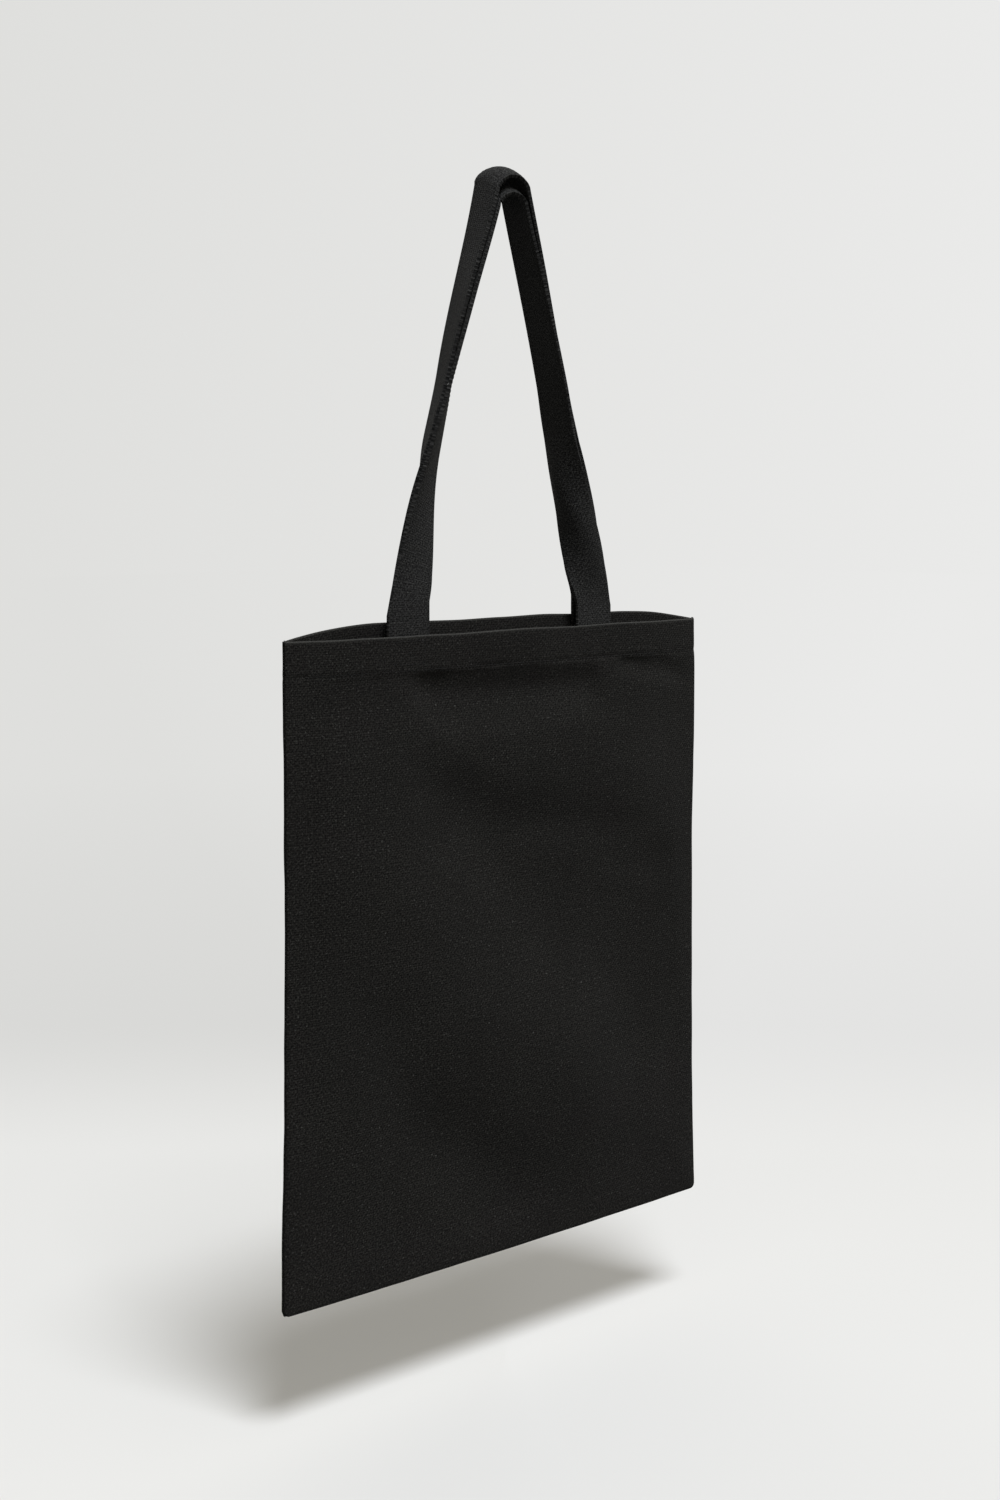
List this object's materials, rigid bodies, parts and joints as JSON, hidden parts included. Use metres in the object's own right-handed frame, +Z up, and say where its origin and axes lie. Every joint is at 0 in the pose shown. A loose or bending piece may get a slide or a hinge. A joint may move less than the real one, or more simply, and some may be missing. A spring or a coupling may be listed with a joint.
{
  "type": "tote bag",
  "caption": "Plain black canvas tote bag, flat and open at the top, with turned hem and two long sewn straps that fold down over the rim",
  "frame": {"origin": "underside of the front strap at the top of its loop, where a peg carries the bag", "axes": "+Z up, +X along the rim, and the front panel faces -Y"},
  "size_m": [0.38, 0.0408, 0.7336],
  "materials": {
    "canvas": "matte",
    "strap_canvas": "matte",
    "thread": "matte"
  },
  "bodies": {
    "bag": {"front_panel": "canvas", "back_panel": "canvas", "front_hem_stitching": "thread", "back_hem_stitching": "thread", "left_seam_overlock": "thread", "right_seam_overlock": "thread", "bottom_seam_overlock": "thread", "front_left_strap_tail": "strap_canvas", "front_right_strap_tail": "strap_canvas", "back_left_strap_tail": "strap_canvas", "back_right_strap_tail": "strap_canvas", "front_left_box_stitching": "thread", "front_right_box_stitching": "thread", "back_left_box_stitching": "thread", "back_right_box_stitching": "thread"},
    "front_strap": {"front_strap": "strap_canvas", "front_strap_stitching": "thread"},
    "back_strap": {"back_strap": "strap_canvas", "back_strap_stitching": "thread"}
  },
  "joints": [
    {"name": "front_strap_fold", "type": "hinge", "parent": "bag", "child": "front_strap", "pos_m": [0, -0.00505, -0.287], "axis": [1, 0, 0], "range_deg": [0, 165]},
    {"name": "back_strap_fold", "type": "hinge", "parent": "bag", "child": "back_strap", "pos_m": [0, 0.00505, -0.279], "axis": [-1, 0, 0], "range_deg": [0, 165]}
  ]
}
